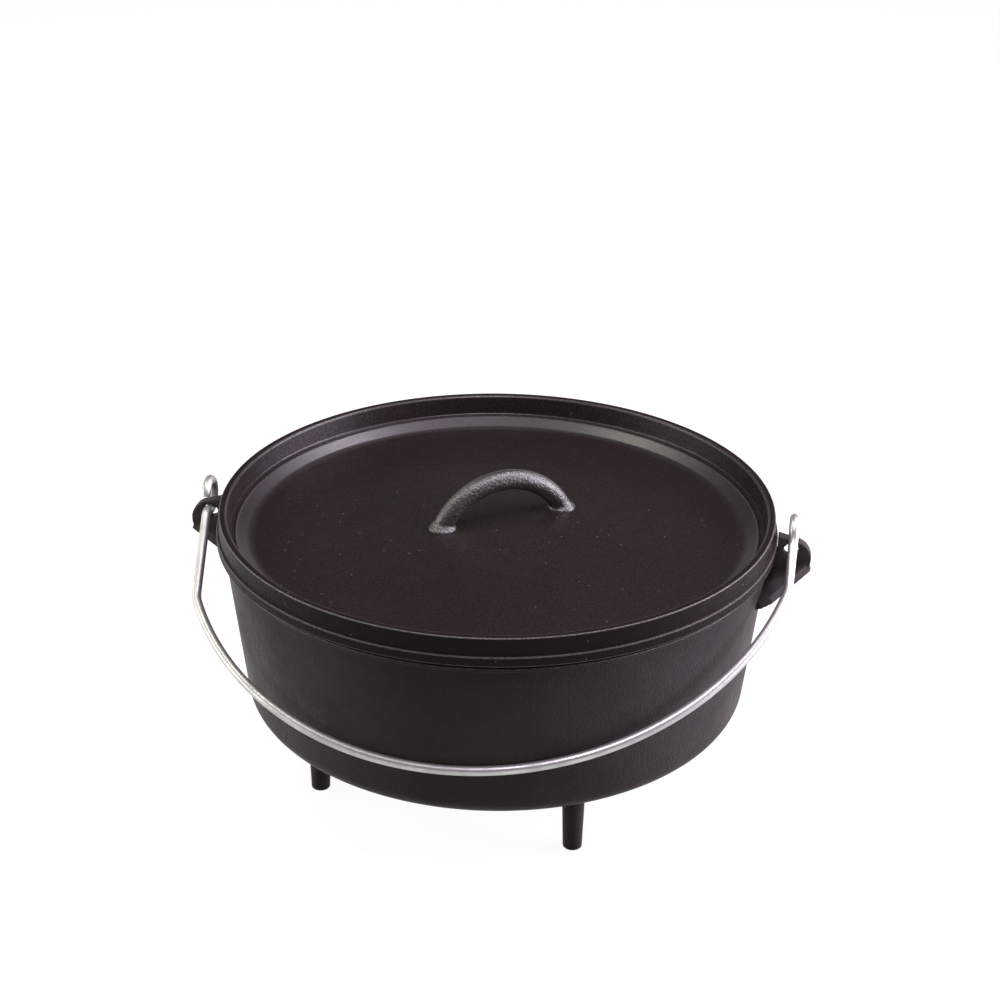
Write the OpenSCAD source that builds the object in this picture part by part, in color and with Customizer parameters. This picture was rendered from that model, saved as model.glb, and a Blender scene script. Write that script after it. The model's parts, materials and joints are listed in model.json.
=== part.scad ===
// Camp oven in cast iron: a pot on four legs, a rimmed lid with an arched handle, and a wire bail.
// The pot stands on z = 0 with its axis on Z. The ears lie on X, and the bail rests at the front, toward -Y.

/* [Pot] */
// Height of the pot from its underside to the rim
pot_h = 105.5; // [90:0.5:130]
// Outer radius of the pot wall just under the rim lip
pot_r = 161.4; // [140:0.1:180]
// Slope of the pot wall from vertical, in degrees
pot_draft = 6.8; // [4:0.1:8]
// Thickness of the pot wall
pot_wall = 4.4; // [4:0.1:6]
// Thickness of the pot floor
pot_floor = 5; // [4:0.1:9]
// Outer rounding where the wall meets the floor
pot_round = 14; // [10:0.5:18]
// Height of the lip around the rim
lip_h = 4; // [3:0.1:5]
// How far the lip stands out from the wall
lip_out = 1.2; // [0.8:0.1:2]

/* [Legs] */
// Length of the legs below the pot
leg_h = 47.5; // [35:0.5:60]
// Radius of a leg at its foot
leg_foot_r = 5.6; // [4:0.1:7]
// Radius of a leg where the flare starts
leg_top_r = 7; // [5.5:0.1:8]
// Distance of the legs from the pot's axis
leg_circle = 114.8; // [100:0.1:118]
// Direction of the first leg, in degrees from +X
leg_at = 30.8; // [20:0.1:40]
// Chamfer around the foot
leg_chamfer = 1.5; // [1:0.1:2]
// Height and width of the flare under the pot
leg_flare = 3.5; // [2:0.1:5]

/* [Lid] */
// Gap between the rim and the lid that rests on it
seat_gap = 0.3; // [0.2:0.05:0.6]
// How far the lid stands out past the pot wall
lid_over = 4.4; // [3.6:0.1:6]
// Height of the lid's lower band
band_h = 7; // [6:0.1:8]
// Width of the ledge on top of the lower band
ledge_w = 1.4; // [1.3:0.1:1.8]
// Height of the lid's rim above its seat
lid_rim_h = 17.7; // [15:0.1:22]
// Thickness of the lid's rim at its crest
crest_w = 5; // [4.5:0.1:6]
// Thickness of the lid's plate
plate_t = 5.2; // [4.8:0.1:6.5]
// Rise of the domed plate at its middle
dome_h = 8; // [6:0.1:10]
// Width of the sloping border between the rim and the plate
bevel_w = 8.3; // [7:0.1:10]
// Height of that sloping border
bevel_h = 5.3; // [4.5:0.1:5.5]

/* [Lid handle] */
// Thickness of the handle's bar
handle_d = 12; // [10:0.5:14]
// Distance of each foot from the middle of the lid
handle_reach = 38.5; // [34:0.5:44]
// Rise of the bar's centre line above the plate
handle_rise = 24; // [22:0.5:30]
// How far the handle's middle lies from the lid's axis, toward +X
handle_x = 2.9; // [0:0.1:4]
// How far the handle's middle lies from the lid's axis, toward +Y
handle_y = 1.6; // [0:0.1:4]
// Direction of the handle, in degrees from +X
handle_at = 30.9; // [0:0.1:90]
// Radius of the pad under each foot
pad_r = 8.6; // [8.2:0.1:10]
// Height of the pad at the middle of the foot
pad_h = 1.3; // [1:0.1:2]

/* [Ears] */
// Distance from the pot wall out to the hole
ear_reach = 12.6; // [12:0.1:15]
// Height of the hole's centre above the rim
hole_up = 0.7; // [0:0.1:2]
// Diameter of the hole
hole_d = 8.9; // [8.6:0.1:9.6]
// Thickness of the upright lug
lug_t = 7; // [6:0.1:7.2]
// Radius of the lug's rounded end
lug_r = 11.9; // [11.5:0.1:13]
// How far the middle of the rounded end lies below the hole
lug_drop = 5.4; // [5:0.1:6]
// Slope of the lug's top edge toward the lid, in degrees
lug_slope = 15.5; // [10:0.5:18]
// Slope of the wing under the lug, in degrees
wing_tilt = 21.8; // [16:0.1:24]
// Thickness of the wing
wing_t = 5; // [4.5:0.1:7]
// Width of the wing's long side, at the front of the right ear
wing_long = 31; // [26:0.5:36]
// Width of the wing's short side, at the back of the right ear
wing_short = 14; // [10:0.5:20]

/* [Bail] */
// Diameter of the bail's wire
wire_d = 5.5; // [5:0.1:5.6]
// Radius of the hooked ends, to the middle of the wire
hook_r = 9.4; // [9.3:0.05:10]
// How far the loop reaches past the distance of the ear holes
bail_over = 1.9; // [1:0.1:5]
// Length of the side arms from the hinge line to the bends
bail_arm = 54.5; // [48:0.1:58]
// How far the bends lie inside the hooks
bend_in = 2.2; // [1.5:0.1:3]
// Gap between the resting loop and the pot wall
bail_rest = 0.3; // [0.2:0.05:1]
// Turn of the bent loop in its own plane, in degrees
bail_skew = -4.4; // [-5:0.1:-3.5]
// Tilt of the bent loop about its own middle line, in degrees
bail_tilt = 2; // [1.5:0.1:2.5]
// How far the bent loop lies below the hinge line
bail_dip = 7.3; // [6.5:0.1:8]
// How far the bent loop is shifted toward -X
bail_shift = 2.8; // [2:0.1:3.2]

/* [Hidden] */
$fn = 96;
// Rim and wall of the pot
rim_z = leg_h + pot_h;
lip_z = rim_z - lip_h;
lip_r = pot_r + lip_out;
function wall_at(z) = pot_r - (lip_z - z) * tan(pot_draft);
side_t = pot_wall / cos(pot_draft);
inner_round = pot_round - 3;
big = 400;
// Lid
seat_z = rim_z + seat_gap;
lid_r = pot_r + lid_over;
band_z = seat_z + band_h;
crest_z = seat_z + lid_rim_h;
upper_r = lid_r - ledge_w;
edge_r = 1.2;
crest_in = 1.5;
crest_r = upper_r - crest_w;
lid_draft = 0.4;
lean_in = 1.5;
bead_r = crest_r - lean_in;
bead_z = band_z - 1.1;
groove_w = 2.3;
groove_d = 1.1;
bevel_r = bead_r - groove_w - 1.4;
bevel_z = bead_z - groove_d + 0.5;
plate_r = bevel_r - bevel_w;
plate_z = bevel_z - bevel_h;
dome_r = (plate_r * plate_r + dome_h * dome_h) / (2 * dome_h);
dome_z = plate_z + dome_h - dome_r;
function plate_at(r) = dome_z + sqrt(dome_r * dome_r - r * r);
plug_gap = 2;
plug_r = pot_r - side_t - plug_gap;
// Handle on the lid
foot_z = plate_at(handle_reach);
pad_z = foot_z + pad_h;
arch_r = (handle_reach * handle_reach + handle_rise * handle_rise) / (2 * handle_rise);
arch_z = foot_z + handle_rise - arch_r;
// Ears
hole_x = pot_r + ear_reach;
hole_z = rim_z + hole_up;
lug_z = hole_z - lug_drop;
lid_clear = 0.5;
wing_x = hole_x - 9;
wing_z = lug_z - 10.6;
wing_end = hole_x + 10.5;
// Bail
wire_r = wire_d / 2;
swell = 0.03;
hook_x = hole_x + 0.8;
hinge_z = hole_z + hook_r;
reach = hole_x + bail_over;
bend_x = hook_x - bend_in;
bend_l = 4;
lead = 5;
loop_r = (bend_x * bend_x + (reach - bail_arm) * (reach - bail_arm)) / (2 * (reach - bail_arm));
loop_v = reach - loop_r;
loop_end = atan2(bend_x, bail_arm - loop_v) - bend_l / loop_r * 180 / PI;
// The lean at rest puts the loop's lowest point just clear of the pot wall
rest_h = reach * cos(bail_skew);
rest_n = -bail_dip - reach * sin(bail_skew) * sin(bail_tilt);
rest_a = rest_h - rest_n * tan(pot_draft);
rest_b = rest_n + rest_h * tan(pot_draft);
rest_c = wall_at(hinge_z) + wire_r + bail_rest;
lean = atan2(rest_b, rest_a) + acos(rest_c / norm([rest_a, rest_b]));
hook_low = -115 - lean;
hook_high = 150 - lean;
hook_tip = 12;

// Section of the solid inside the pot wall drawn in by inset, from z_low up to top, rounded at the floor
module vessel(z_low, top, inset, round_r) {
    mid_z = z_low + round_r;
    mid_r = wall_at(mid_z) - inset - round_r / cos(pot_draft);
    polygon([[0, z_low], [mid_r, z_low],
        [mid_r + round_r * cos(pot_draft), mid_z - round_r * sin(pot_draft)],
        [wall_at(top) - inset, top], [0, top]]);
    translate([mid_r, mid_z]) circle(r = round_r);
}

module pot() {
    color("#2b2523")
    rotate_extrude() difference() {
        union() {
            vessel(leg_h, rim_z - 0.5, 0, pot_round);
            translate([0, lip_z]) square([lip_r - lip_h / 2, lip_h]);
            translate([lip_r - lip_h / 2, lip_z + lip_h / 2]) circle(r = lip_h / 2);
        }
        vessel(leg_h + pot_floor, rim_z + 1, side_t, inner_round);
    }
}

module leg(a) {
    rotate([0, 0, a]) translate([leg_circle, 0, 0]) rotate_extrude()
        polygon([[0, 0], [leg_foot_r - leg_chamfer, 0], [leg_foot_r, leg_chamfer], [leg_top_r, leg_h - leg_flare],
            [leg_top_r + leg_flare * 0.3, leg_h - leg_flare * 0.3], [leg_top_r + leg_flare, leg_h], [0, leg_h]]);
}

module leg_right() color("#2b2523") leg(leg_at);
module leg_back() color("#2b2523") leg(leg_at + 90);
module leg_left() color("#2b2523") leg(leg_at + 180);
module leg_front() color("#2b2523") leg(leg_at + 270);

// The ear on +X: an upright lug with the hole, on a wing that slopes up from the pot wall
module ear() {
    difference() {
        union() {
            translate([0, lug_t / 2, 0]) rotate([90, 0, 0]) linear_extrude(lug_t) {
                translate([hole_x, lug_z]) circle(r = lug_r);
                polygon([[hole_x + lug_r * sin(lug_slope), lug_z + lug_r * cos(lug_slope)],
                    [pot_r, lug_z + lug_r / cos(lug_slope) + (hole_x - pot_r) * tan(lug_slope)],
                    [pot_r - 8, lug_z], [wing_x, wing_z - wing_t / 2], [wing_end - 1, lug_z - 7],
                    [hole_x + lug_r * cos(8), lug_z - lug_r * sin(8)]]);
            }
            translate([wing_x, 0, wing_z]) rotate([0, -wing_tilt, 0]) translate([0, 0, -wing_t])
                linear_extrude(wing_t) polygon([
                    [(wing_end - wing_x) / cos(wing_tilt), 2.6], [-2, wing_short], [-9, wing_short + 3],
                    [-22, wing_short + 3], [-22, -wing_long - 3], [-9, -wing_long - 3], [-2, -wing_long],
                    [(wing_end - wing_x) / cos(wing_tilt), -2.6]]);
        }
        translate([hole_x, big / 2, hole_z]) rotate([90, 0, 0]) cylinder(d = hole_d, h = big);
        translate([0, 0, lip_z - 80]) cylinder(r1 = wall_at(lip_z - 80), r2 = pot_r, h = 80);
        translate([0, 0, lip_z - 0.5]) cylinder(r = lip_r, h = big);
        translate([0, 0, rim_z - 1]) cylinder(r = lid_r + lid_clear, h = big);
    }
}

module ear_right() color("#302927") ear();
module ear_left() color("#302927") rotate([0, 0, 180]) ear();

// The lid's section: rim with its ledge, bead, sloping border and domed plate
module lid_section() {
    polygon([[plug_r, seat_z], [lid_r - edge_r, seat_z], [lid_r, seat_z + edge_r], [lid_r, band_z - edge_r],
        [lid_r - edge_r, band_z], [upper_r, band_z], [upper_r - lid_draft, crest_z - edge_r],
        [upper_r - lid_draft - edge_r, crest_z], [crest_r + crest_in, crest_z], [crest_r, crest_z - crest_in],
        [bead_r, bead_z], [bead_r - groove_w, bead_z - groove_d], [bevel_r, bevel_z],
        [plate_r - 0.8, plate_z - 0.8 * bevel_h / bevel_w], [plate_r - 2.5, plate_z - plate_t / 2],
        [plate_r + 0.5, plate_z - plate_t * 0.85]]);
    for (z = [seat_z + edge_r, band_z - edge_r]) translate([lid_r - edge_r, z]) circle(r = edge_r);
    translate([upper_r - lid_draft - edge_r, crest_z - edge_r]) circle(r = edge_r);
    translate([crest_r + crest_in, crest_z - crest_in]) circle(r = crest_in);
    intersection() {
        translate([0, plate_z - plate_t * 1.2]) square([plate_r + 1, plate_t * 1.2 + dome_h + 1]);
        difference() {
            translate([0, dome_z]) circle(r = dome_r, $fn = 1440);
            translate([0, dome_z]) circle(r = dome_r - plate_t, $fn = 1440);
        }
    }
}

module lid() {
    color("#2e2826") {
        rotate_extrude() lid_section();
        translate([handle_x, handle_y, 0]) rotate([0, 0, handle_at]) for (x = [-handle_reach, handle_reach])
            translate([x, 0, foot_z - plate_t / 2]) cylinder(r = pad_r, h = plate_t / 2 + pad_h);
    }
}

module lid_handle() {
    color("#3a3432")
    translate([handle_x, handle_y, 0]) rotate([0, 0, handle_at]) difference() {
        translate([0, 0, arch_z]) rotate([90, 0, 0]) rotate_extrude(angle = 180)
            translate([arch_r, 0]) circle(d = handle_d);
        translate([-big / 2, -big / 2, pad_z - big]) cube(big);
    }
}

// A point of the loop at u across and v along, in the bail drawn level with its loop toward -Y
function turned(u, v) = [u * cos(bail_skew) - v * sin(bail_skew), u * sin(bail_skew) + v * cos(bail_skew)];
function loop_at(p) = [p[0] * cos(bail_tilt) - bail_shift, -p[1], p[0] * sin(bail_tilt) - bail_dip];
function loop_pt(u, v) = loop_at(turned(u, v));
function hook_pt(x, a) = [x, hook_r * cos(a), hook_r * sin(a)];
function unit(v) = v / norm(v);

// A straight length of wire from p to q
module rod(p, q) {
    d = q - p;
    translate(p) rotate([0, acos(d[2] / norm(d)), atan2(d[1], d[0])]) cylinder(r = wire_r, h = norm(d));
}

// The swelling that joins two lengths of wire, with its poles on the wire's direction d
module knuckle(p, d) {
    translate(p) rotate([0, acos(d[2] / norm(d)), atan2(d[1], d[0])]) sphere(r = wire_r + swell);
}

// A bend of the wire at corner q, on the way from p to r, that starts and ends l from the corner
module bend(p, q, r, l) {
    a = unit(q - p);
    b = unit(r - q);
    turn = acos(a * b);
    side = unit(b - a * (a * b));
    up = cross(a, side);
    radius = l / tan(turn / 2);
    start = q - a * l + side * radius;
    multmatrix([[-side[0], a[0], up[0] * -1, start[0]], [-side[1], a[1], up[1] * -1, start[1]],
            [-side[2], a[2], up[2] * -1, start[2]], [0, 0, 0, 1]])
        rotate_extrude(angle = turn) translate([radius, 0]) circle(r = wire_r);
}

// The hooked end in the plane at x, between two angles from +Y
module hook(x, from, to) {
    translate([x, 0, 0]) rotate([90, 0, 90]) rotate([0, 0, from]) rotate_extrude(angle = to - from)
        translate([hook_r, 0]) circle(r = wire_r);
}

// One side: from the end of the hook along lead direction t, by a bend to the arm, and by a bend to the loop
module side_arm(end, t, sgn) {
    top = end + lead * t;
    far = [loop_r * sin(loop_end) * sgn, loop_v + loop_r * cos(loop_end)];
    low = far + bend_l * [cos(loop_end) * sgn, -sin(loop_end)];
    foot = loop_pt(far[0], far[1]);
    knee = loop_pt(low[0], low[1]);
    along = unit(knee - top);
    last = unit(foot - knee);
    rod(end, end + t);
    knuckle(end + t, t);
    bend(end, top, knee, lead - 1);
    knuckle(top + along * (lead - 1), along);
    rod(top + along * (lead - 1), knee - along * bend_l);
    knuckle(knee - along * bend_l, along);
    bend(top, knee, foot, bend_l);
    knuckle(knee + last * bend_l, last);
}

module bail() {
    color("#8a8681")
    translate([0, 0, hinge_z]) rotate([lean, 0, 0]) {
        hook(hook_x, hook_low - hook_tip, hook_high);
        knuckle(hook_pt(hook_x, hook_high), [0, -sin(hook_high), cos(hook_high)]);
        side_arm(hook_pt(hook_x, hook_high), [0, -sin(hook_high), cos(hook_high)], 1);
        translate([-bail_shift, 0, -bail_dip]) rotate([0, -bail_tilt, 0]) rotate([180, 0, 0]) rotate([0, 0, bail_skew])
            translate([0, loop_v, 0]) rotate([0, 0, 90 - loop_end]) rotate_extrude(angle = 2 * loop_end)
            translate([loop_r, 0]) circle(r = wire_r);
        side_arm(hook_pt(-hook_x, hook_low), [0, sin(hook_low), -cos(hook_low)], -1);
        knuckle(hook_pt(-hook_x, hook_low), [0, sin(hook_low), -cos(hook_low)]);
        hook(-hook_x, hook_low, hook_high + hook_tip);
    }
}

pot();
leg_front();
leg_left();
leg_back();
leg_right();
ear_right();
ear_left();
lid();
lid_handle();
bail();
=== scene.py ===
"""Camp oven in seasoned cast iron: the visible pieces, their finishes and a plain studio."""

import json
import math

import bmesh
import bpy
from bpy.props import FloatProperty, FloatVectorProperty, IntProperty, PointerProperty
from mathutils import Matrix, Vector


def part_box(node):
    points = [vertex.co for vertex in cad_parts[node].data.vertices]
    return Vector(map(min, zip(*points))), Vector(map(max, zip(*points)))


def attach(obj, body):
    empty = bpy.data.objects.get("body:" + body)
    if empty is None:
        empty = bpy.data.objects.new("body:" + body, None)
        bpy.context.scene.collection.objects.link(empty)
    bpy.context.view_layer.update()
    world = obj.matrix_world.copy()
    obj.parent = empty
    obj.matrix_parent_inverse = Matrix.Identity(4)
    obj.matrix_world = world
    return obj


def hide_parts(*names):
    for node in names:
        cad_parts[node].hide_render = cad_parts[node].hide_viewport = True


bl_info = {
    "name": "Camp oven",
    "version": (1, 0, 0),
    "blender": (4, 5, 0),
    "location": "3D View > Sidebar > Camp oven",
    "description": "Builds a cast-iron camp oven around its packed frame, with finishes and a plain studio",
    "category": "Object",
}

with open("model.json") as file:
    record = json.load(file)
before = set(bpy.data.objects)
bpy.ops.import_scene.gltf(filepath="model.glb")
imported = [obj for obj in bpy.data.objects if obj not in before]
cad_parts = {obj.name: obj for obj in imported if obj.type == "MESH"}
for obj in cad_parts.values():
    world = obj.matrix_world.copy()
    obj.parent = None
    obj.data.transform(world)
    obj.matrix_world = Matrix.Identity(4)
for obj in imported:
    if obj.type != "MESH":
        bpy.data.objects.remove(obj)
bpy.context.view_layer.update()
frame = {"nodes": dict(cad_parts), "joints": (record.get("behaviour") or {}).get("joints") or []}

POT_LOW, POT_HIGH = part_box("pot")
LID_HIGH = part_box("lid")[1]
HANDLE_LOW, HANDLE_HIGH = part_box("lid_handle")
BAIL_JOINT = next(j for j in frame["joints"] if j["name"] == "bail_swing")
LEG_NODES = ("leg_front", "leg_left", "leg_back", "leg_right")
EAR_NODES = ("ear_right", "ear_left")

MM = 0.001
# Vertex layer that lightens rounded edges: partly rubbing of the iron, partly a painted highlight along the
# edges
WEAR_AND_HIGHLIGHT_LAYER = "wear_and_highlight_layer"
FULL_TURN = 2 * math.pi
CREASE = math.radians(40)
FUSED, SAME_PLACE = 0.5e-6, 2e-6
FINE_ROUND, BROAD_ROUND = 0.7 * MM, 4 * MM
X_AXIS, Y_AXIS, Z_AXIS = Vector((1, 0, 0)), Vector((0, 1, 0)), Vector((0, 0, 1))

# Features a metre of the patterns in the iron and in the wire's plating
CLOUDS, SWELLS, SPECKS = 16, 70, 150
PLATING_CLOUDS, PLATING_GRAIN = 60, 1400

# Faces around a leg or a collar, around the handle's bar, and along the handle, a hook and the loop
SMALL_STEPS, BAR_STEPS, ARCH_STEPS, HOOK_STEPS, LOOP_STEPS = 48, 40, 64, 44, 150

# Tints of the lamps on the right and on the left, the sizes of their faces, and what they point at
ROSE, CREAM = (0.98, 0.88, 1.0), (0.99, 0.98, 0.87)
TOP_FACE, HIGH_FACE, LOW_FACE = (0.6, 0.5), (0.5, 0.5), (1.2, 0.8)
LAMP_AIM = (0, 0, 0.11)

# Each lamp's place to the right, to the front and up, its face, its power in watts and its tint
LAMPS = {
    "lamp_top": ((0.1, 0.45, 1.42), TOP_FACE, 13, ROSE),
    "lamp_right_high": ((0.85, -0.34, 1.29), HIGH_FACE, 15, ROSE),
    "lamp_left_high": ((-0.76, -0.25, 1.38), HIGH_FACE, 7, CREAM),
    "lamp_right_low": ((1.40, -0.12, 0.44), LOW_FACE, 31, ROSE),
    "lamp_left_low": ((-1.36, -0.02, 0.44), LOW_FACE, 11, CREAM),
}


def length(name, description, default):
    """A size in metres."""
    return FloatProperty(name=name, description=description, default=default, unit="LENGTH", precision=5)


def turn(name, description, degrees):
    """An angle, given in degrees."""
    return FloatProperty(name=name, description=description, default=math.radians(degrees), unit="ROTATION")


def share(name, description, default):
    """A plain number from 0 to 1."""
    return FloatProperty(name=name, description=description, default=default, min=0, max=1, subtype="FACTOR")


def number(name, description, default, least):
    """A plain number from a least one up."""
    return FloatProperty(name=name, description=description, default=default, min=least)


def colour(name, description, default):
    """A linear colour."""
    return FloatVectorProperty(name=name, description=description, default=default, size=3, min=0, max=1,
                               subtype="COLOR")


# Sizes and finishes that a user may change


class PotSizes(bpy.types.PropertyGroup):
    """Sizes of the pot, its lip and its legs"""

    wall_radius: length("Wall radius", "Outer radius of the wall just under the lip", 161.4 * MM)
    wall_slope: turn("Wall slope", "Slope of the wall from vertical", 6.8)
    wall: length("Wall", "Thickness of the wall", 4.4 * MM)
    floor: length("Floor", "Thickness of the floor", 5 * MM)
    foot_round: length("Foot rounding", "Outer rounding between wall and floor", 14 * MM)
    inner_round: length("Inner rounding", "Inner rounding between wall and floor", 11 * MM)
    lip_height: length("Lip height", "Height of the lip around the rim", 4 * MM)
    rebate: length("Rebate", "Depth of the rebate between the lip and the lid", 1.5 * MM)
    rebate_width: length("Rebate width", "Width of the rebate between the lip and the lid", 2.6 * MM)
    leg_foot: length("Leg foot radius", "Radius of a leg at its foot", 5.6 * MM)
    leg_top: length("Leg top radius", "Radius of a leg under the flare", 7 * MM)
    leg_flare: length("Leg flare", "Rounding between a leg and the floor", 3.5 * MM)
    steps: IntProperty(name="Steps", description="Faces around the pot and the lid", default=288, min=48)


class LidSizes(bpy.types.PropertyGroup):
    """Sizes of the lid and its handle"""

    seat: length("Seat height", "Height of the seat on the rim", POT_HIGH.z + 0.3 * MM)
    band: length("Lower band", "Height of the lower band", 7 * MM)
    ledge: length("Ledge", "Width of the ledge on the lower band", 1.4 * MM)
    crest: length("Crest width", "Thickness of the rim at its crest", 5 * MM)
    plate: length("Plate", "Thickness of the plate", 5.2 * MM)
    dome: length("Dome", "Rise of the plate at its middle", 8 * MM)
    rim_lean: length("Rim lean", "How far the inner face of the rim leans in at its foot", 1.5 * MM)
    groove: length("Groove", "Width of the groove between the rim and the border", 3.7 * MM)
    groove_depth: length("Groove depth", "Depth of the groove below the foot of the rim", 1.1 * MM)
    undercut: length("Undercut", "Width of the undercut at the lower edge", 3.4 * MM)
    undercut_height: length("Undercut height", "Height of the undercut at the lower edge", 1.3 * MM)
    border_width: length("Border width", "Width of the sloping border inside the rim", 8.3 * MM)
    border_height: length("Border height", "Height of the sloping border", 5.3 * MM)
    plug: length("Plug radius", "Radius of the step that drops into the pot", 155 * MM)
    plate_drop: length("Plate drop", "Depth of the plate under the handle, below the crest", 9.7 * MM)
    bar: length("Handle bar", "Thickness of the handle's bar", 12 * MM)
    reach: length("Handle reach", "Distance of each foot from the middle of the lid", 38.5 * MM)
    handle_turn: turn("Handle direction", "Direction of the handle from +X", 30.9)
    collar: length("Collar radius", "Radius of the collar around each foot of the handle", 8.4 * MM)


class BailSizes(bpy.types.PropertyGroup):
    """Sizes of the wire bail, drawn level and then leaned against the pot"""

    wire: length("Wire", "Diameter of the wire", 5.5 * MM)
    hook: length("Hook radius", "Radius of the hooked ends, to the middle of the wire", 9.4 * MM)
    hook_x: length("Hook distance", "Distance of each hook from the middle", 174.8 * MM)
    reach: length("Reach", "Distance of the loop from the hinge line", 175.9 * MM)
    arm: length("Arm", "Distance of the bends from the hinge line", 54.5 * MM)
    bend_in: length("Bend inset", "How far the bends lie inside the hooks", 2.2 * MM)
    dip: length("Dip", "How far the loop lies below the hinge line", 7.3 * MM)
    shift: length("Shift", "How far the loop is shifted toward -X", 2.8 * MM)
    skew: turn("Skew", "Turn of the loop in its own plane", -4.4)
    tilt: turn("Tilt", "Tilt of the loop about its middle line", 2)
    hook_low: turn("Hook, low end", "Where the sweep of a hook starts, before the lean", -115)
    hook_high: turn("Hook, high end", "Where the sweep of a hook ends, before the lean", 150)
    lean: turn("Lean", "Lean of the resting bail below level", 24.54)
    tip: turn("Tip", "Overrun of each hook past the sweep of the ear", 12)


class IronFinish(bpy.types.PropertyGroup):
    """Look of the seasoned iron"""

    pot_dark: colour("Pot, dark", "Colour of the pot where the seasoning is thick", (0.040, 0.0341, 0.0348))
    pot_light: colour("Pot, light", "Colour of the pot where the seasoning is thin", (0.070, 0.0598, 0.0612))
    lid_dark: colour("Lid, dark", "Colour of the lid where the seasoning is thick", (0.0082, 0.0044, 0.0047))
    lid_light: colour("Lid, light", "Colour of the lid where the seasoning is thin", (0.0150, 0.0084, 0.0090))
    dust: colour("Dust", "Colour of the tiny specks in the grain", (0.075, 0.066, 0.062))
    # Light colour of the lightened edges: partly iron exposed by rubbing, partly a painted highlight
    bare_and_highlit: colour("Bare edge", "Colour of the iron where edges are rubbed", (0.27, 0.26, 0.258))
    pot_gloss: share("Pot gloss", "Strength of the reflection on the pot", 0.03)
    lid_gloss: share("Lid gloss", "Strength of the reflection on the lid", 0.07)
    roughness: share("Roughness", "Roughness of the iron", 0.40)
    oil_thin: share("Oil film", "Strength of the oil film where it is thin", 0.35)
    oil_roughness: share("Oil roughness", "Roughness of the oil film", 0.34)
    oil_index: number("Oil index", "Refractive index of the oil film", 1.9, 1)
    handle_gloss: share("Handle gloss", "Strength of the reflection on the handle", 1)
    handle_index: number("Handle index", "Refractive index of the seasoning on the handle", 1.6, 1)
    # The lightened edges also turn metallic, as exposed iron and as part of their painted highlight
    rubbed_and_highlit_metal: share("Bare metal", "How metallic the rubbed edges are", 0.8)
    specks: share("Specks", "Share of the spots on the lid that hold a speck of dust", 0.4)
    grain: length("Grain", "Size of the sand grain in the casting", 1.0 * MM)
    grain_depth: length("Grain depth", "Depth of the sand grain", 0.32 * MM)


class WireFinish(bpy.types.PropertyGroup):
    """Look of the plated wire"""

    bright: colour("Bright tone", "Colour of the plating", (0.56, 0.56, 0.55))
    dull: colour("Dull tone", "Colour of the plating where it is dulled", (0.42, 0.42, 0.415))
    roughness: share("Roughness", "Roughness of the plating", 0.42)
    metal: share("Metal", "How metallic the plating is", 0.8)


class StageSettings(bpy.types.PropertyGroup):
    """Camera, floor and lamps"""

    camera_at: FloatVectorProperty(name="Camera", description="Place of the camera",
                                   default=(0.152, -1.161, 0.741), subtype="TRANSLATION", unit="LENGTH")
    heading: turn("Heading", "Heading of the camera from +Y toward -X", 7.384)
    pitch: turn("Pitch", "How far the camera looks down", 25.904)
    roll: turn("Roll", "Roll of the camera", 0.581)
    lens: number("Lens", "Focal length in millimetres", 79.2, 1)
    floor_radius: length("Floor radius", "Radius of the floor", 14)
    floor_white: share("Floor white", "White of the floor that takes no shadow", 0.945)
    floor_grey: share("Floor grey", "Grey of the floor that takes the shadow", 0.14)
    horizon: number("Horizon", "Strength of the light around the horizon", 0.9, 0)
    ambient: number("Ambient", "Strength of the even light from above", 0.06, 0)


GROUPS = {
    "oven_pot": PotSizes,
    "oven_lid": LidSizes,
    "oven_bail": BailSizes,
    "oven_iron": IronFinish,
    "oven_wire": WireFinish,
    "oven_stage": StageSettings,
}


# Node materials


class Shade:
    """A node socket that takes part in Python arithmetic."""

    def __init__(self, tree, socket):
        self.tree = tree
        self.socket = socket

    def node(self, kind, settings=None, output=0, **inputs):
        """Adds a node of this kind; settings are set first, then its sockets get values or links."""
        made = self.tree.nodes.new(kind)
        for key, value in (settings or {}).items():
            setattr(made, key, value)
        for key, value in inputs.items():
            slot = made.inputs[int(key[1:])] if key[0] == "_" else made.inputs[key.replace("_", " ")]
            if isinstance(value, Shade):
                value.feed(slot)
            else:
                slot.default_value = value
        return Shade(self.tree, made.outputs[output])

    def feed(self, slot):
        """Links this value to a socket."""
        self.tree.links.new(self.socket, slot)

    def maths(self, operation, first, second):
        """One Math node."""
        return self.node("ShaderNodeMath", {"operation": operation}, _0=first, _1=second)

    def __add__(self, other):
        return self.maths("ADD", self, other)

    def __sub__(self, other):
        return self.maths("SUBTRACT", self, other)

    def __rsub__(self, other):
        return self.maths("SUBTRACT", other, self)

    def __mul__(self, other):
        return self.maths("MULTIPLY", self, other)

    def __lt__(self, other):
        return self.maths("LESS_THAN", self, other)

    __radd__ = __add__
    __rmul__ = __mul__

    def span(self, low, high, to_low=0.0, to_high=1.0):
        """This value moved from one range to another and kept inside it."""
        return self.node("ShaderNodeMapRange", {"clamp": True}, Value=self, From_Min=low, From_Max=high,
                         To_Min=to_low, To_Max=to_high)

    def mix(self, first, second):
        """A colour between two others, with this value as the factor."""
        made = self.node("ShaderNodeMix", {"data_type": "RGBA"}, _0=self, _6=first, _7=second)
        return Shade(self.tree, made.socket.node.outputs[2])

    def noise(self, scale, detail, roughness):
        """Noise over this place, at a scale in features a metre."""
        return self.node("ShaderNodeTexNoise", None, Vector=self, Scale=scale, Detail=detail,
                         Roughness=roughness)


def new_material(name):
    """A material with nodes, its surface shader and the object's own coordinates."""
    made = bpy.data.materials.new(name)
    made.use_nodes = True
    tree = made.node_tree
    surface = tree.nodes["Principled BSDF"]
    place = Shade(tree, tree.nodes.new("ShaderNodeTexCoord").outputs["Object"])
    return made, surface, place


def rgba(tone):
    """A colour property as four numbers."""
    return (*tone, 1.0)


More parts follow.
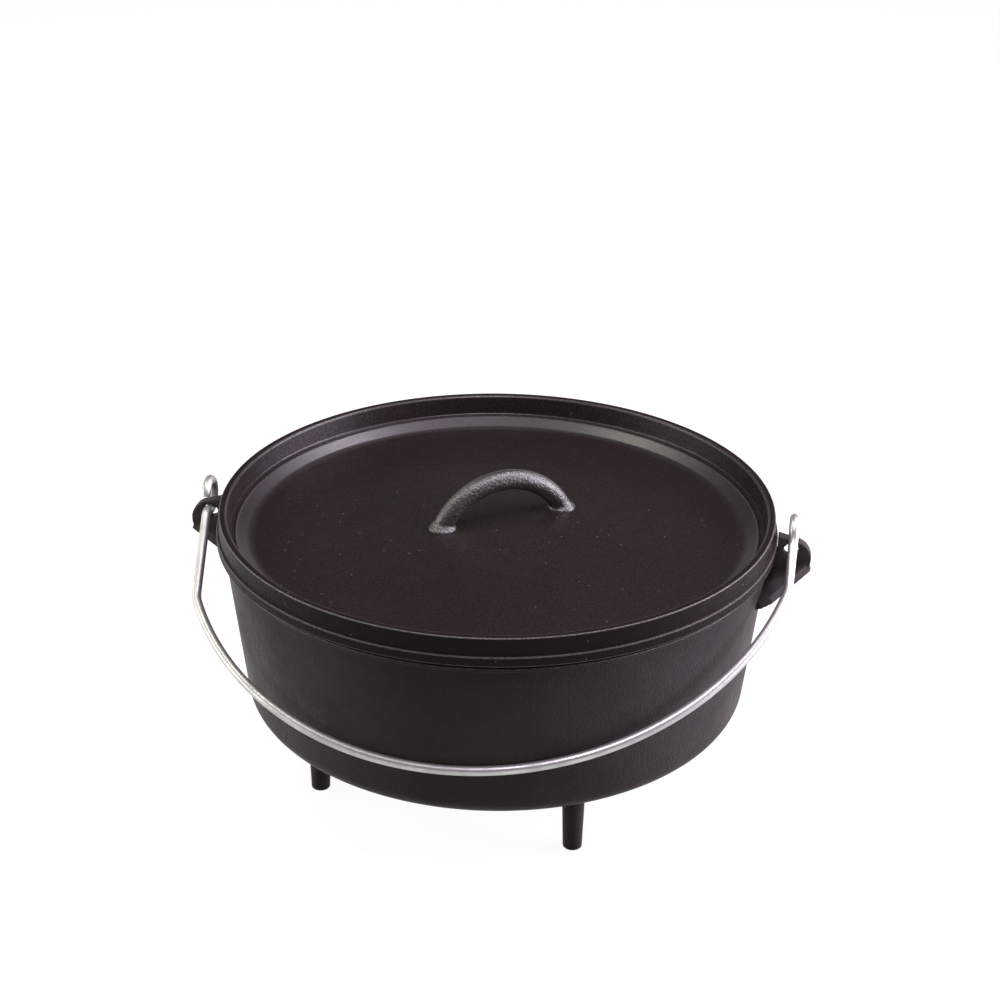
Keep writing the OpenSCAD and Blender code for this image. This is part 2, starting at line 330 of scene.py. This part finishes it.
def with_dust(place, base, finish):
    """A colour with a tiny speck of dust in some of the cells of a pattern."""
    cell = place.node("ShaderNodeTexVoronoi", {"feature": "F1"}, Vector=place, Scale=SPECKS)
    pick = Shade(place.tree, cell.socket.node.outputs["Color"])
    chosen = place.node("ShaderNodeSeparateColor", None, Color=pick)
    speck_size = 0.085
    mark = (cell < speck_size) * (chosen < finish.specks)
    return mark.mix(base, rgba(finish.dust))


def oil_film(place, grain, finish, start, end, edge):
    """Strength of the oil film: full between the radii start and end, and thin elsewhere up to the edge."""
    flat = place.node("ShaderNodeVectorMath", {"operation": "MULTIPLY"}, _0=place, _1=(1, 1, 0))
    away = place.node("ShaderNodeVectorMath", {"operation": "LENGTH"}, output=1, _0=flat)
    blend = 0.6 * MM
    past_start = away.span(start - 3 * MM, start + 1 * MM)
    past_end, past_edge = (away.span(radius - blend, radius + blend) for radius in (end, edge))
    film = (past_start - past_end) * (1 - finish.oil_thin) + finish.oil_thin
    film = film.maths("MINIMUM", film + grain.span(0.35, 0.65, -0.2, 0.2), 1.0)
    return film * (1.0 - past_edge)


def seasoned_iron(name, finish, dark, light, gloss, depth=1.0, index=None, dusty=False, oiled=None):
    """Dark oil-baked iron with the sand grain of its casting and lightened edges, partly from rubbing and
    partly a painted highlight.

    It may be dusty, and oiled gives the three radii of an oil film.
    """
    made, surface, place = new_material(name)
    per_grain = 1 / finish.grain
    grain = place.noise(per_grain, 3.0, 0.6)
    pits = place.node("ShaderNodeTexVoronoi", {"feature": "SMOOTH_F1"}, Vector=place, Scale=per_grain * 0.6,
                      Smoothness=0.5)
    cloud = place.noise(CLOUDS, 4.0, 0.6)
    swell = place.noise(SWELLS, 1.0, 0.5)
    tone = cloud.span(0.32, 0.70) * 0.55 + grain.span(0.30, 0.72) * 0.45
    base = tone.mix(rgba(dark), rgba(light))
    # Lightened edges from the vertex layer: partly iron exposed by rubbing, partly a painted highlight
    rubbed_and_highlit = place.node("ShaderNodeAttribute", {"attribute_name": WEAR_AND_HIGHLIGHT_LAYER}, output=2)
    rubbed_and_highlit = rubbed_and_highlit * grain.span(0.32, 0.62, 0.35, 1.0)
    base = rubbed_and_highlit.mix(base, rgba(finish.bare_and_highlit))
    if dusty:
        base = with_dust(place, base, finish)
    base.feed(surface.inputs["Base Color"])
    (rubbed_and_highlit * finish.rubbed_and_highlit_metal).feed(surface.inputs["Metallic"])
    rough = cloud.span(0.3, 0.7, finish.roughness + 0.07, finish.roughness - 0.07)
    (rough + grain.span(0.3, 0.7, -0.05, 0.05)).feed(surface.inputs["Roughness"])
    surface.inputs["Specular IOR Level"].default_value = gloss
    if index:
        surface.inputs["IOR"].default_value = index
    if oiled:
        oil_film(place, grain, finish, *oiled).feed(surface.inputs["Coat Weight"])
        surface.inputs["Coat Roughness"].default_value = finish.oil_roughness
        surface.inputs["Coat IOR"].default_value = finish.oil_index
    height = grain + pits * 0.7 + swell * 2.0
    bump = place.node("ShaderNodeBump", None, Strength=0.9, Distance=finish.grain_depth * depth,
                      Height=height)
    bump.feed(surface.inputs["Normal"])
    return made


def pot_iron(name, finish):
    """The pot's own seasoning."""
    return seasoned_iron(name, finish, finish.pot_dark, finish.pot_light, finish.pot_gloss)


def lid_iron(name, finish, gloss, depth, **more):
    """The lid's browner seasoning."""
    return seasoned_iron(name, finish, finish.lid_dark, finish.lid_light, gloss, depth, **more)


def plated_wire(name, finish):
    """Satin zinc plating over drawn wire."""
    made, surface, place = new_material(name)
    cloud = place.noise(PLATING_CLOUDS, 3.0, 0.6)
    fine = place.noise(PLATING_GRAIN, 2.0, 0.6)
    tone = cloud.span(0.35, 0.65)
    tone.mix(rgba(finish.bright), rgba(finish.dull)).feed(surface.inputs["Base Color"])
    rough = cloud.span(0.3, 0.7, finish.roughness - 0.06, finish.roughness + 0.08)
    (rough + fine.span(0.3, 0.7, -0.04, 0.04)).feed(surface.inputs["Roughness"])
    surface.inputs["Metallic"].default_value = finish.metal
    bump = place.node("ShaderNodeBump", None, Strength=0.35, Distance=0.03 * MM, Height=fine)
    bump.feed(surface.inputs["Normal"])
    return made


# Mesh helpers


def new_bmesh():
    """An empty bmesh that has the layer for edges lightened partly by rubbing and partly as painted
    highlight.
    """
    bm = bmesh.new()
    bm.verts.layers.float.new(WEAR_AND_HIGHLIGHT_LAYER)
    return bm


def as_piece(bm, name, material, body, slot, *nodes):
    """Ends a bmesh as a finished piece that rides on a body and stands for CAD nodes."""
    mesh = bpy.data.meshes.new(name)
    bm.to_mesh(mesh)
    bm.free()
    piece = bpy.data.objects.new(name, mesh)
    bpy.context.scene.collection.objects.link(piece)
    mesh.materials.append(material)
    finish_mesh(mesh)
    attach(piece, body)
    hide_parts(*nodes)
    return piece


def finish_mesh(mesh):
    """Shades a mesh smooth, apart from its sharp creases."""
    mesh.polygons.foreach_set("use_smooth", [True] * len(mesh.polygons))
    mesh.set_sharp_from_angle(angle=CREASE)


def settle(piece):
    """Applies a piece's modifiers, so that the finished mesh is its own."""
    bpy.context.view_layer.update()
    graph = bpy.context.evaluated_depsgraph_get()
    mesh = bpy.data.meshes.new_from_object(piece.evaluated_get(graph))
    piece.modifiers.clear()
    piece.data = mesh
    finish_mesh(mesh)


def soften(piece, voxel, rounds):
    """Fuses the shells of a piece and rounds its edges as a sand casting's are."""
    remesh = piece.modifiers.new("fuse", "REMESH")
    remesh.mode = "VOXEL"
    remesh.voxel_size = voxel
    smooth = piece.modifiers.new("round", "SMOOTH")
    smooth.factor = 0.5
    smooth.iterations = rounds
    settle(piece)


def keep_flats(piece):
    """Lets the wide faces rule the shading at rounded edges."""
    piece.modifiers.new("normals", "WEIGHTED_NORMAL").keep_sharp = True


def turned(bm, outline, steps):
    """Spins a half section about Z. A row of the outline is a radius, a height, a rounding and how far that
    rounding is lightened, partly as rubbing and partly as painted highlight.
    """
    wear_and_highlight_layer = bm.verts.layers.float[WEAR_AND_HIGHLIGHT_LAYER]
    before = set(bm.verts)
    verts = [bm.verts.new((row[0], 0, row[1])) for row in outline]
    edges = [bm.edges.new(pair) for pair in zip(verts, verts[1:])]
    bmesh.ops.spin(bm, geom=verts + edges, cent=(0, 0, 0), axis=Z_AXIS, angle=FULL_TURN, steps=steps,
                   use_merge=True)
    new = [v for v in bm.verts if v not in before]
    bmesh.ops.remove_doubles(bm, verts=new, dist=FUSED)
    new = [v for v in bm.verts if v not in before]
    bmesh.ops.recalc_face_normals(bm, faces=list({f for v in new for f in v.link_faces}))
    # Each rounding's faces get its lightening: partly rubbing, partly a painted highlight along the edge
    for radius, height, rounding, wear_and_highlight in outline:
        if rounding:
            strip = set(round_ring(bm, radius, height, rounding))
            for v in {v for f in strip for v in f.verts}:
                v[wear_and_highlight_layer] = wear_and_highlight if strip.issuperset(v.link_faces) else 0


def round_ring(bm, radius, height, rounding):
    """Rounds the circular edge at a radius and a height, and gives back the new faces."""

    def on_ring(v):
        beside = abs(math.hypot(v.co.x, v.co.y) - radius)
        return beside < SAME_PLACE and abs(v.co.z - height) < SAME_PLACE

    ring = [e for e in bm.edges if on_ring(e.verts[0]) and on_ring(e.verts[1])]
    segments = 4 if rounding < FINE_ROUND else 6 if rounding < BROAD_ROUND else 12
    made = bmesh.ops.bevel(bm, geom=ring, offset=rounding, offset_type="OFFSET", segments=segments,
                           profile=0.5, affect="EDGES", material=-1, clamp_overlap=True)
    return made["faces"]


def arc_rows(centre, radius, r_from, r_to, count):
    """Rows of an outline along an arc about a point on the axis."""
    radii = [r_from + (r_to - r_from) * i / count for i in range(count + 1)]
    return [(r, centre + math.sqrt(radius * radius - r * r), 0, 0) for r in radii]


def tangent_length(radius, angle):
    """How far from a corner its rounding starts."""
    return radius * math.tan(angle / 2)


# The pieces


class OVEN_OT_pot(bpy.types.Operator):
    """Build the pot with its lip"""

    bl_idname = "oven.pot"
    bl_label = "Pot"

    def execute(self, context):
        size, iron = context.scene.oven_pot, context.scene.oven_iron
        low, rim = POT_LOW.z, POT_HIGH.z
        lip_z = rim - size.lip_height
        lip_r = POT_HIGH.x
        slope = math.tan(size.wall_slope)
        side = size.wall / math.cos(size.wall_slope)

        def wall_at(z):
            return size.wall_radius - (lip_z - z) * slope

        corner = math.pi / 2 - size.wall_slope
        floor_z = low + size.floor
        halfway = wall_at(low) / 2
        # The last number of a row lightens its rounded edge: partly rubbing, partly a painted highlight line,
        # as on the lip's top edge
        outline = [
            (0, low, 0, 0),
            (halfway, low, 0, 0),
            (wall_at(low), low, tangent_length(size.foot_round, corner), 0),
            (wall_at(lip_z), lip_z, 0.7 * MM, 0),
            (lip_r, lip_z + 0.9 * MM, 0.6 * MM, 0),
            (lip_r, rim - size.rebate, 0.7 * MM, 0.4),
            (lip_r - size.rebate_width, rim - size.rebate, 0, 0),
            (lip_r - size.rebate_width, rim, 0, 0),
            (wall_at(rim) - side, rim, 0.9 * MM, 0.5),
            (wall_at(floor_z) - side, floor_z, tangent_length(size.inner_round, corner), 0),
            (halfway, floor_z, 0, 0),
            (0, floor_z, 0, 0),
        ]
        bm = new_bmesh()
        turned(bm, outline, size.steps)
        pot = as_piece(bm, "pot_body", pot_iron("iron pot", iron), "pot", "iron", "pot")
        keep_flats(pot)
        return {"FINISHED"}


class OVEN_OT_legs(bpy.types.Operator):
    """Build the tapered legs, each flared into the pot's floor"""

    bl_idname = "oven.legs"
    bl_label = "Legs"

    def execute(self, context):
        size, iron = context.scene.oven_pot, context.scene.oven_iron
        material = pot_iron("iron legs", iron)
        flare_r = size.leg_top + size.leg_flare
        sunk = 1.5 * MM
        for node in LEG_NODES:
            low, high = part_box(node)
            centre = (low + high) / 2
            top = high.z + sunk
            outline = [
                (0, low.z, 0, 0),
                (size.leg_foot, low.z, 1.3 * MM, 0.5),
                (size.leg_top, high.z - size.leg_flare * 0.35, size.leg_flare * 0.7, 0),
                (flare_r, high.z + 0.3 * MM, 0, 0),
                (flare_r, top, 0, 0),
                (0, top, 0, 0),
            ]
            bm = new_bmesh()
            turned(bm, outline, SMALL_STEPS)
            bmesh.ops.translate(bm, verts=bm.verts, vec=(centre.x, centre.y, 0))
            leg = as_piece(bm, node + "_cast", material, "pot", "iron", node)
            keep_flats(leg)
        return {"FINISHED"}


class OVEN_OT_ears(bpy.types.Operator):
    """Build the ears with the soft edges of a casting"""

    bl_idname = "oven.ears"
    bl_label = "Ears"

    def execute(self, context):
        size, iron = context.scene.oven_pot, context.scene.oven_iron
        material = pot_iron("iron ears", iron)
        lip_z = POT_HIGH.z - size.lip_height
        slope = math.tan(size.wall_slope)
        wall_top, lid_foot, lid_edge = lip_z - 0.3 * MM, POT_HIGH.z - 1.2 * MM, LID_HIGH.x + 0.6 * MM
        near, into_wall, to_lid = 0.2 * MM, 2.5 * MM, 0.3 * MM
        for node in EAR_NODES:
            bm = bmesh.new()
            bm.from_mesh(frame["nodes"][node].data)
            bmesh.ops.remove_doubles(bm, verts=bm.verts, dist=SAME_PLACE)
            for v in bm.verts:
                away = math.hypot(v.co.x, v.co.y)
                wall = size.wall_radius - (lip_z - v.co.z) * slope
                at_wall = v.co.z < wall_top and abs(away - wall) < near
                by_lid = v.co.z > lid_foot and away < lid_edge
                if at_wall or by_lid:
                    inward = 1 - (into_wall if at_wall else to_lid) / away
                    v.co.x *= inward
                    v.co.y *= inward
            ear = as_piece(bm, node + "_cast", material, "pot", "iron", node)
            soften(ear, voxel=0.5 * MM, rounds=8)
        return {"FINISHED"}


class OVEN_OT_lid(bpy.types.Operator):
    """Build the lid with its stepped rim and domed plate"""

    bl_idname = "oven.lid"
    bl_label = "Lid"

    def execute(self, context):
        size, iron = context.scene.oven_lid, context.scene.oven_iron
        steps = context.scene.oven_pot.steps
        seat, crest_z, outer = size.seat, LID_HIGH.z, LID_HIGH.x
        band_z = seat + size.band
        upper = outer - size.ledge
        inner = upper - size.crest
        rim_drop, border_drop, groove_in = 1.1 * MM, 0.6 * MM, 2.3 * MM
        bead_r, bead_z = inner - size.rim_lean, band_z - rim_drop
        border_r, border_z = bead_r - size.groove, bead_z - border_drop
        plate_r, plate_z = border_r - size.border_width, border_z - size.border_height
        dome_r = (plate_r ** 2 + size.dome ** 2) / (2 * size.dome)
        dome_z = plate_z + size.dome - dome_r
        dome_edge = plate_r - 3 * MM
        outline = arc_rows(dome_z, dome_r, 0, dome_edge, count=14)
        # The last number of a row lightens its rounded edge: partly rubbing, partly a painted highlight line
        # along the border, crest, ledge and lower edge
        outline += [
            (plate_r, plate_z, 2.7 * MM, 0),
            (border_r, border_z, 0.7 * MM, 0.25),
            (bead_r - groove_in, bead_z - size.groove_depth, 0.4 * MM, 0),
            (bead_r, bead_z, 0.6 * MM, 0),
            (inner, crest_z, 1.5 * MM, 0.1),
            (upper - 0.4 * MM, crest_z, 0.7 * MM, 0.5),
            (upper, band_z, 0.4 * MM, 0),
            (outer, band_z, 0.9 * MM, 0.3),
            (outer, seat + size.undercut_height, 0.5 * MM, 0.6),
            (outer - size.undercut, seat, 0, 0),
            (size.plug, seat, 0.6 * MM, 0),
            (plate_r + 0.5 * MM, plate_z - size.plate * 0.85, 0.6 * MM, 0),
        ]
        outline += arc_rows(dome_z, dome_r - size.plate, dome_edge, 0, count=8)
        bm = new_bmesh()
        turned(bm, outline, steps)
        oiled = (plate_r, border_r, upper - size.crest * 0.8)
        material = lid_iron("iron lid", iron, iron.lid_gloss, 0.8, dusty=True, oiled=oiled)
        lid = as_piece(bm, "lid_cast", material, "lid", "iron", "lid")
        keep_flats(lid)
        return {"FINISHED"}


class OVEN_OT_lid_handle(bpy.types.Operator):
    """Build the arched handle and the collars around its feet"""

    bl_idname = "oven.lid_handle"
    bl_label = "Lid handle"

    def execute(self, context):
        size, iron = context.scene.oven_lid, context.scene.oven_iron
        bar = size.bar / 2
        top = HANDLE_HIGH.z - bar
        sunk, buried = 0.55 * MM, 3 * MM
        foot_z = LID_HIGH.z - size.plate_drop - sunk
        rise = top - foot_z
        arch = (size.reach ** 2 + rise ** 2) / (2 * rise)
        centre = Vector((0, 0, top - arch))
        half = math.asin(size.reach / arch) + buried / arch
        bm = new_bmesh()
        start = centre + Vector((arch, 0, 0))
        bmesh.ops.create_circle(bm, cap_ends=True, segments=BAR_STEPS, radius=bar,
                                matrix=Matrix.Translation(start))
        bmesh.ops.rotate(bm, verts=bm.verts, cent=centre, matrix=Matrix.Rotation(half - math.pi / 2, 3, "Y"))
        bmesh.ops.spin(bm, geom=list(bm.faces) + list(bm.edges) + list(bm.verts), cent=centre, axis=-Y_AXIS,
                       angle=2 * half, steps=ARCH_STEPS)
        collar_low, collar_high = foot_z - 2 * MM, foot_z + 3.4 * MM
        collar = [
            (0, collar_low, 0, 0),
            (size.collar + 0.3 * MM, collar_low, 0, 0),
            (size.collar, foot_z + 0.4 * MM, 0, 0),
            (size.collar - 1.2 * MM, foot_z + 1.5 * MM, 0, 0),
            (bar - 0.4 * MM, collar_high, 0, 0),
            (0, collar_high, 0, 0),
        ]
        for side in (-1, 1):
            old = set(bm.verts)
            turned(bm, collar, SMALL_STEPS)
            new = [v for v in bm.verts if v not in old]
            bmesh.ops.translate(bm, verts=new, vec=(side * size.reach, 0, 0))
        bmesh.ops.recalc_face_normals(bm, faces=bm.faces)
        bmesh.ops.rotate(bm, verts=bm.verts, cent=(0, 0, 0), matrix=Matrix.Rotation(size.handle_turn, 3, "Z"))
        middle = (HANDLE_LOW + HANDLE_HIGH) / 2
        bmesh.ops.translate(bm, verts=bm.verts, vec=(middle.x, middle.y, 0))
        material = lid_iron("iron handle", iron, iron.handle_gloss, 1.2, index=iron.handle_index)
        handle = as_piece(bm, "lid_handle_cast", material, "lid", "iron", "lid_handle")
        soften(handle, voxel=0.55 * MM, rounds=7)
        return {"FINISHED"}


class WireDrawer:
    """Draws a round wire along straight runs and bends, from the ring at its first end."""

    def __init__(self, at, along, radius, sides=20):
        self.bm = bmesh.new()
        self.at, self.along = at, along.normalized()
        aim = self.along.to_track_quat("Z", "Y").to_matrix().to_4x4()
        made = bmesh.ops.create_circle(self.bm, cap_ends=False, segments=sides, radius=radius,
                                       matrix=Matrix.Translation(at) @ aim)
        self.ring = list({e for v in made["verts"] for e in v.link_edges})
        self.first = list(self.ring)

    def run_to(self, point):
        """A straight run up to a point ahead."""
        made = bmesh.ops.extrude_edge_only(self.bm, edges=self.ring)["geom"]
        self.ring = [g for g in made if isinstance(g, bmesh.types.BMEdge) and len(g.link_faces) == 1]
        verts = [g for g in made if isinstance(g, bmesh.types.BMVert)]
        bmesh.ops.translate(self.bm, verts=verts, vec=point - self.at)
        self.at = point

    def sweep(self, centre, axis, angle, steps):
        """A bend about an axis through a point."""
        verts = list({v for e in self.ring for v in e.verts})
        made = bmesh.ops.spin(self.bm, geom=verts + self.ring, cent=centre, axis=axis, angle=angle,
                              steps=steps)
        self.ring = [g for g in made["geom_last"] if isinstance(g, bmesh.types.BMEdge)]
        spun = Matrix.Rotation(angle, 3, axis)
        self.at = centre + spun @ (self.at - centre)
        self.along = spun @ self.along

    def corner(self, point, onward, before, steps=8):
        """A rounded corner at a point, that starts and ends some way from it."""
        onward = onward.normalized()
        angle = self.along.angle(onward)
        radius = before / math.tan(angle / 2)
        side = (onward - self.along * self.along.dot(onward)).normalized()
        self.run_to(point - self.along * before)
        self.sweep(self.at + side * radius, self.along.cross(side), angle, steps)

    def end(self, chamfer):
        """Closes both ends and rounds their edges."""
        for ring in (self.first, self.ring):
            bmesh.ops.contextual_create(self.bm, geom=ring)
        rim = self.first + self.ring
        bmesh.ops.recalc_face_normals(self.bm, faces=self.bm.faces)
        bmesh.ops.bevel(self.bm, geom=rim, offset=chamfer, offset_type="OFFSET", segments=3, profile=0.5,
                        affect="EDGES", material=-1)
        return self.bm


class OVEN_OT_bail(bpy.types.Operator):
    """Draw the wire bail from hook to hook"""

    bl_idname = "oven.bail"
    bl_label = "Bail"

    def execute(self, context):
        size = context.scene.oven_bail
        lead, near, softened = 5 * MM, 4 * MM, 1 * MM
        bend_x = size.hook_x - size.bend_in
        deep = size.reach - size.arm
        loop_r = (bend_x ** 2 + deep ** 2) / (2 * deep)
        loop_v = size.reach - loop_r
        loop_end = math.atan2(bend_x, size.arm - loop_v) - near / loop_r
        hook_low, hook_high = size.hook_low - size.lean, size.hook_high - size.lean
        skew = Matrix.Rotation(size.skew, 3, "Z")
        tilt = Matrix.Rotation(-size.tilt, 3, "Y")

        def on_loop(u, v):
            u, v, _ = skew @ Vector((u, v, 0))
            return tilt @ Vector((u, 0, 0)) + Vector((-size.shift, -v, -size.dip))

        def on_hook(x, a):
            return Vector((x, size.hook * math.cos(a), size.hook * math.sin(a)))

        def hook_way(a):
            return Vector((0, -math.sin(a), math.cos(a)))

        def knee(side):
            far = Vector((loop_r * math.sin(loop_end) * side, loop_v + loop_r * math.cos(loop_end)))
            low = far + near * Vector((math.cos(loop_end) * side, -math.sin(loop_end)))
            return on_loop(*low), on_loop(*far)

        knee_right, foot_right = knee(1)
        knee_left = knee(-1)[0]
        top_right = on_hook(size.hook_x, hook_high) + lead * hook_way(hook_high)
        top_left = on_hook(-size.hook_x, hook_low) - lead * hook_way(hook_low)
        middle = on_loop(0, loop_v)
        round_way = (foot_right - middle).cross(on_loop(0, size.reach) - middle)

        start = hook_low - size.tip
        wire = WireDrawer(on_hook(size.hook_x, start), hook_way(start), size.wire / 2)
        wire.sweep(Vector((size.hook_x, 0, 0)), X_AXIS, hook_high - start, HOOK_STEPS)
        wire.corner(top_right, knee_right - top_right, lead - softened)
        wire.corner(knee_right, foot_right - knee_right, near)
        wire.sweep(middle, round_way, 2 * loop_end, LOOP_STEPS)
        wire.corner(knee_left, top_left - knee_left, near)
        wire.corner(top_left, hook_way(hook_low), lead - softened)
        wire.run_to(on_hook(-size.hook_x, hook_low))
        wire.sweep(Vector((-size.hook_x, 0, 0)), X_AXIS, hook_high + size.tip - hook_low, HOOK_STEPS)
        bm = wire.end(chamfer=0.8 * MM)
        hinge = Matrix.Translation(BAIL_JOINT["pos_m"]) @ Matrix.Rotation(size.lean, 4, "X")
        bmesh.ops.transform(bm, matrix=hinge, verts=bm.verts)
        as_piece(bm, "bail_wire", plated_wire("plated wire", context.scene.oven_wire), "bail", "wire", "bail")
        return {"FINISHED"}


# The studio


def add_lamp(name, front, place, face, power, tint):
    """A soft lamp. Its place and aim are counted to the right, to the front, where the camera is, and up."""
    to_world = Matrix.Rotation(front, 3, "Z") @ Matrix(((0, 1, 0), (1, 0, 0), (0, 0, 1)))
    place, aim = to_world @ Vector(place), to_world @ Vector(LAMP_AIM)
    data = bpy.data.lights.new(name, "AREA")
    data.shape = "RECTANGLE"
    data.size, data.size_y = face
    data.energy = power
    data.color = tint
    lamp = bpy.data.objects.new(name, data)
    lamp.location = place
    lamp.visible_camera = False
    lamp.rotation_euler = (aim - place).to_track_quat("-Z", "Y").to_euler()
    bpy.context.scene.collection.objects.link(lamp)


class OVEN_OT_stage(bpy.types.Operator):
    """Set up the camera, the floor and the lamps"""

    bl_idname = "oven.stage"
    bl_label = "Stage"

    def execute(self, context):
        setup = context.scene.oven_stage
        self.add_camera(context, setup)
        self.add_floor(setup)
        self.add_light(context, setup)
        return {"FINISHED"}

    @staticmethod
    def add_camera(context, setup):
        """The camera at the viewing angle."""
        data = bpy.data.cameras.new("camera")
        data.sensor_width = 36
        data.lens = setup.lens
        data.clip_start, data.clip_end = 0.01, 60
        camera = bpy.data.objects.new("camera", data)
        camera.matrix_world = (Matrix.Translation(setup.camera_at) @ Matrix.Rotation(setup.heading, 4, "Z")
                               @ Matrix.Rotation(math.pi / 2 - setup.pitch, 4, "X")
                               @ Matrix.Rotation(setup.roll, 4, "Z"))
        context.scene.collection.objects.link(camera)
        context.scene.camera = camera

    @staticmethod
    def add_floor(setup):
        """A white floor that keeps a faint shadow."""
        bm = bmesh.new()
        bmesh.ops.create_circle(bm, cap_ends=True, segments=96, radius=setup.floor_radius)
        mesh = bpy.data.meshes.new("floor")
        bm.to_mesh(mesh)
        bm.free()
        floor = bpy.data.objects.new("floor", mesh)
        bpy.context.scene.collection.objects.link(floor)
        made, surface, _ = new_material("white floor")
        tree = made.node_tree
        tree.nodes.remove(surface)
        path = tree.nodes.new("ShaderNodeLightPath")
        camera, glossy, through = (Shade(tree, path.outputs[x]) for x in
                                   ("Is Camera Ray", "Is Glossy Ray", "Is Transmission Ray"))
        seen = camera.maths("MINIMUM", camera + glossy + through, 1.0)
        matt = camera.node("ShaderNodeBsdfDiffuse", None, Color=rgba([setup.floor_grey] * 3))
        white = camera.node("ShaderNodeEmission", None, Color=(1, 1, 1, 1), Strength=seen * setup.floor_white)
        both = camera.node("ShaderNodeAddShader", None, _0=matt, _1=white)
        both.feed(tree.nodes["Material Output"].inputs["Surface"])
        mesh.materials.append(made)

    @staticmethod
    def add_light(context, setup):
        """Soft lamps above and on both sides, and a pale surround that darkens upward."""
        scene = context.scene
        scene.view_settings.view_transform = "Standard"
        world = bpy.data.worlds.new("studio")
        world.use_nodes = True
        tree = world.node_tree
        background = tree.nodes["Background"]
        background.inputs["Color"].default_value = (1, 1, 1, 1)
        way = Shade(tree, tree.nodes.new("ShaderNodeTexCoord").outputs["Generated"])
        height = way.node("ShaderNodeSeparateXYZ", None, output=2, Vector=way)
        pale_below, dark_above = 0.04, 0.24
        glow = height.span(pale_below, dark_above, setup.horizon, setup.ambient)
        glow.feed(background.inputs["Strength"])
        scene.world = world
        front = math.atan2(setup.camera_at[1], setup.camera_at[0])
        for name, lamp in LAMPS.items():
            add_lamp(name, front, *lamp)


# The add-on


class OVEN_PT_panel(bpy.types.Panel):
    """Sidebar panel with the oven's pieces and settings"""

    bl_label = "Camp oven"
    bl_idname = "OVEN_PT_panel"
    bl_space_type = "VIEW_3D"
    bl_region_type = "UI"
    bl_category = "Camp oven"

    def draw(self, context):
        for operator in OPERATORS:
            self.layout.operator(operator.bl_idname)
        for key, group in GROUPS.items():
            box = self.layout.box()
            box.label(text=group.__doc__)
            for name in group.__annotations__:
                box.prop(getattr(context.scene, key), name)


OPERATORS = (OVEN_OT_pot, OVEN_OT_legs, OVEN_OT_ears, OVEN_OT_lid, OVEN_OT_lid_handle, OVEN_OT_bail,
             OVEN_OT_stage)
CLASSES = (*GROUPS.values(), *OPERATORS, OVEN_PT_panel)


def register():
    """Adds the classes and the scene's settings."""
    for cls in CLASSES:
        bpy.utils.register_class(cls)
    for key, group in GROUPS.items():
        setattr(bpy.types.Scene, key, PointerProperty(type=group))


def unregister():
    """Takes them away again."""
    for key in GROUPS:
        delattr(bpy.types.Scene, key)
    for cls in reversed(CLASSES):
        bpy.utils.unregister_class(cls)


def main():
    """Builds every piece and the stage."""
    register()
    bpy.ops.oven.pot()
    bpy.ops.oven.legs()
    bpy.ops.oven.ears()
    bpy.ops.oven.lid()
    bpy.ops.oven.lid_handle()
    bpy.ops.oven.bail()
    bpy.ops.oven.stage()


if __name__ == "__main__":
    main()
